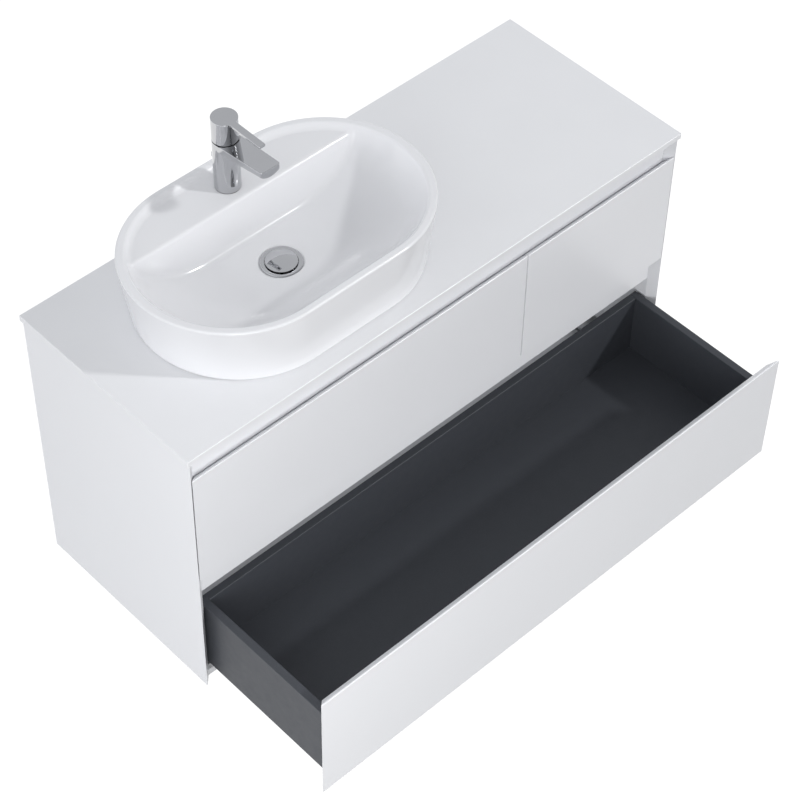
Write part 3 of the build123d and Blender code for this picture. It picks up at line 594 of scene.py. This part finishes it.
def lever_field(point):
    """Hollow cap with the flat lever in one piece, and the post that the stem fits."""
    x, forward, z, radius = from_tap(point)
    cap = meet(radius - TAP_R, CAP_FOOT - z, 0.5 * MM)
    bar = meet(np.abs(x) - LEVER_HALF, forward - LEVER_REACH, LEVER_CORNER)
    bar = meet(bar, LEVER_FOOT - z, 0.6 * MM)
    solid = join(cap, np.maximum(bar, -forward), 0.8 * MM)
    solid = meet(solid, z - CAP_TOP, 0.7 * MM)
    solid = meet(solid, -np.maximum(radius - CAP_INSIDE_R, z - CAP_INSIDE_TOP), EDGE)

    # The back of the cap's foot is cut at a slant, so that the cap can tip.
    relief = (z - CAP_FOOT) * math.cos(RELIEF_TILT)
    relief = relief + (forward + RELIEF_BACK) * math.sin(RELIEF_TILT)
    solid = meet(solid, -relief, EDGE)
    post = np.maximum(radius - POST_R, np.maximum(POST_FOOT - z, z - POST_TOP))
    solid = join(solid, post, 0.8 * MM)
    solid = np.maximum(solid, -np.maximum(radius - STEM_R, z - STEM_TOP))
    screw = np.maximum(np.hypot(x, z - SCREW_Z) - SCREW_R, forward)
    return np.maximum(solid, -np.maximum(screw, -forward - SCREW_DEPTH))


def tap():
    for node, body, field, cell in (("tap_body", "cabinet", tap_field, 1.5 * MM),
                                    ("lever_handle", "tap_lever", lever_field, 1.2 * MM)):
        low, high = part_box(node)
        piece = skin(node + "_skin", field, low - TAP_MARGIN, high + TAP_MARGIN, cell)
        finish_piece(piece, "chrome", body, node)


# ---- turned pieces -----------------------------------------------------------------
# Each outline is a list of (radius, height, corner radius) in millimetres.
WASTE = [(35.2, 31.5, 0.2), (39, 31.5, 0.3), (39, 33.3, 0.8), (37.2, 34.5, 1.6), (35.8, 34.5, 1.0),
         (30.4, 33.5, 0.5), (29.9, 30.8, 0.4), (20, 22, 4), (20, -18, 2), (16.2, -26, 1),
         (16.2, -40, 0.4), (19, -40, 0.5), (19, -28, 1), (22, -20, 1), (22, 19.3, 1)]
PLUG = [(0, -71, 0), (4, -71, 0.6), (4, 35.2, 3), (29.3, 35.2, 0.4), (29.3, 35.95, 0.35),
        (15.3, 41, 79), (0, 41, 0)]
LIFT_ROD = [(0, -62, 0), (2.25, -62, 0.3), (2.25, 166, 0.5), (4.6, 166, 0.4), (6, 168.2, 1.5),
            (6, 174, 1.2), (4.4, 176, 1.5), (0, 176, 0)]
SPRAY = [(0, 217.4, 0), (3, 217.4, 0.2), (3, 216, 0.2), (3.9, 216, 0.2), (3.9, 217.4, 0.2),
         (6, 217.4, 0.2), (6, 216, 0.2), (6.9, 216, 0.2), (6.9, 217.4, 0.2), (8.4, 217.4, 0.2),
         (8.4, 216, 0.3), (9.8, 216, 0.6), (9.8, 229, 0.4), (0, 229, 0)]
ARC_STEP = math.radians(12)
ON_AXIS = 0.01 * MM


def rounded(outline, closed=False):
    """Points and normals of an outline, with each of its corners rounded.

    The solid is on the left of the way that the outline runs."""
    spots = np.array([spot[:2] for spot in outline]) * MM
    ahead = np.roll(spots, -1, axis=0) - spots
    ahead /= np.linalg.norm(ahead, axis=1, keepdims=True)
    points, normals = [], []
    for index, (_, _, corner) in enumerate(outline):
        first = not closed and index == 0
        last = not closed and index == len(outline) - 1
        after = ahead[index - 1] if last else ahead[index]
        before = after if first else ahead[index - 1]
        start = math.atan2(-before[0], before[1])
        turn = math.remainder(math.atan2(-after[0], after[1]) - start, 2 * math.pi)
        side = math.copysign(corner * MM, turn)
        centre = spots[index] - before * abs(side * math.tan(turn / 2))
        centre = centre - side * np.array((math.cos(start), math.sin(start)))
        steps = max(1, math.ceil(abs(turn) / ARC_STEP)) if corner else 0
        for step in range(steps + 1):
            angle = start + turn * step / max(steps, 1)
            normal = np.array((math.cos(angle), math.sin(angle)))
            points.append(centre + side * normal)
            normals.append(normal)
    return points, normals


def turned(name, outline, y, closed=False, around=120):
    """Mesh turned about the upright axis at that y, with exact normals."""
    points, normals = rounded(outline, closed)
    corners, shades, rows = [], [], []
    for (radius, z), (out, up) in zip(points, normals):
        count = around if radius > ON_AXIS else 1
        rows.append([len(corners) + step % count for step in range(around + 1)])
        for step in range(count):
            angle = 2 * math.pi * step / around
            side, rise = math.cos(angle), math.sin(angle)
            corners.append((BASIN_X + radius * side, y + radius * rise, TOP + z))
            shades.append((out * side, out * rise, up))
    faces = []
    for lower, upper in zip(rows, rows[1:] + ([rows[0]] if closed else [])):
        for step in range(around):
            ring = (lower[step], lower[step + 1], upper[step + 1], upper[step])
            faces.append(list(dict.fromkeys(ring)))
    mesh = bpy.data.meshes.new(name)
    mesh.from_pydata(corners, [], faces)
    return shaded_piece(mesh, shades)


def waste():
    """Waste and plug, with the rod that lifts the plug."""
    body = turned("waste_body_turned", WASTE, DRAIN_Y, closed=True)
    finish_piece(body, "chrome", "cabinet", "waste_body")
    plug = turned("plug_turned", PLUG, DRAIN_Y)
    finish_piece(plug, "chrome", "plug", "plug")
    rod = turned("lift_rod_turned", LIFT_ROD, ROD_Y, around=64)
    finish_piece(rod, "chrome", "lift_rod", "lift_rod")


def aerator():
    spray = turned("aerator_turned", SPRAY, TAP_Y - OUTLET_REACH)
    finish_piece(spray, "grey_plastic", "cabinet", "aerator")


# ---- studio ------------------------------------------------------------------------
FLOOR_DROP = 0.35
FLOOR_HALF = 30.0
GROUND = 0.36
SKY = 0.665
HORIZON = 0.49
# What a direction adds to the sky near the horizon, and what it adds at any height.
LEFT, FRONT = (0.59, 0.306), (0.26, -0.60)
RIGHT = BACK = (-0.10, 0.0)


def dome(tree):
    """Strength of the sky: brightest low on the left, and darkest half-way up in front."""
    def calculate(operation, first, second):
        node = tree.nodes.new("ShaderNodeMath")
        node.operation = operation
        for socket, value in zip(node.inputs, (first, second)):
            if isinstance(value, float):
                socket.default_value = value
            else:
                tree.links.new(value, socket)
        return node.outputs["Value"]

    def facing(axis, sign):
        return calculate("MAXIMUM", calculate("MULTIPLY", axis, sign), 0.0)

    place = tree.nodes.new("ShaderNodeTexCoord")
    split = tree.nodes.new("ShaderNodeSeparateXYZ")
    tree.links.new(place.outputs["Generated"], split.inputs["Vector"])
    x, y, z = split.outputs
    in_front = facing(y, -1.0)
    low = calculate("SUBTRACT", 1.0, z)
    glow = calculate("MULTIPLY", low, HORIZON)
    spread = SKY
    for side, (near_horizon, anywhere) in ((facing(x, -1.0), LEFT), (in_front, FRONT),
                                           (facing(x, 1.0), RIGHT), (facing(y, 1.0), BACK)):
        glow = calculate("ADD", glow, calculate("MULTIPLY", side, near_horizon))
        spread = calculate("ADD", spread, calculate("MULTIPLY", side, anywhere))
    glow = calculate("MULTIPLY", glow, calculate("MULTIPLY", low, low))
    sky = calculate("ADD", glow, spread)
    ground = calculate("SUBTRACT", GROUND, calculate("MULTIPLY", in_front, GROUND))
    above = calculate("GREATER_THAN", z, 0.0)
    below = calculate("SUBTRACT", 1.0, above)
    return calculate("ADD", calculate("MULTIPLY", sky, above), calculate("MULTIPLY", below, ground))


def lamp(name, aim, towards, distance, size, power):
    """Round soft lamp that stands in a direction from the point it is aimed at."""
    light = bpy.data.lights.new(name, "AREA")
    light.shape = "DISK"
    light.size = size
    light.energy = power
    stand = bpy.data.objects.new(name, light)
    stand.location = aim + towards.normalized() * distance
    stand.rotation_euler = towards.to_track_quat("Z", "Y").to_euler()
    bpy.context.scene.collection.objects.link(stand)


def paper_floor():
    """Floor that looks plain white, also in reflections, but throws no light on matt surfaces."""
    z = cad_low.z - FLOOR_DROP
    corners = [(x * FLOOR_HALF, y * FLOOR_HALF, z) for x, y in ((-1, -1), (1, -1), (1, 1), (-1, 1))]
    mesh = bpy.data.meshes.new("floor")
    mesh.from_pydata(corners, [], [(0, 1, 2, 3)])
    floor = bpy.data.objects.new("floor", mesh)
    bpy.context.scene.collection.objects.link(floor)
    paper = Finish("floor_paper", (0.10, 0.10, 0.10), 0.9, specular=0.0)
    paper.shader.inputs["Emission Color"].default_value = (1.0, 1.0, 1.0, 1.0)
    paper.shader.inputs["Emission Strength"].default_value = 1.0
    mesh.materials.append(paper.material)
    floor.visible_diffuse = False


def studio():
    """White floor below the cabinet, a pale dome, a key far off to the front right, and a weak
    fill near the front left."""
    scene = bpy.context.scene
    scene.view_settings.view_transform = "Standard"
    paper_floor()
    world = bpy.data.worlds.new("dome")
    world.use_nodes = True
    scene.world = world
    sky = world.node_tree.nodes["Background"]
    sky.inputs["Color"].default_value = (0.985, 1.0, 1.03, 1.0)
    world.node_tree.links.new(dome(world.node_tree), sky.inputs["Strength"])
    aim = Vector((0.0, -0.35, -0.2))
    lamp("key", aim, towards=Vector((0.616, -0.788, 0.63)), distance=18.0, size=1.0, power=1200.0)
    lamp("fill", aim, towards=Vector((-0.70, -0.68, 0.28)), distance=2.2, size=1.1, power=16.0)


def camera():
    """Looks down on the front left corner, rolled by a degree."""
    azimuth, elevation, roll = map(math.radians, (43.986, 48.135, 1.134))
    target = Vector((-0.0331, -0.3657, -0.2599))
    distance = 4.4117
    level = math.cos(elevation)
    ahead = Vector((math.sin(azimuth) * level, math.cos(azimuth) * level, -math.sin(elevation)))
    lens = bpy.data.cameras.new("camera")
    lens.sensor_width = 36.0
    lens.lens = 105.9
    lens.clip_end = 60.0
    eye = bpy.data.objects.new("camera", lens)
    turn = ahead.to_track_quat("-Z", "Y").to_matrix() @ Matrix.Rotation(roll, 3, "Z")
    eye.matrix_world = Matrix.Translation(target - ahead * distance) @ turn.to_4x4()
    bpy.context.scene.collection.objects.link(eye)
    bpy.context.scene.camera = eye


camera()
studio()
dress_nodes()
basin()
tap()
waste()
aerator()
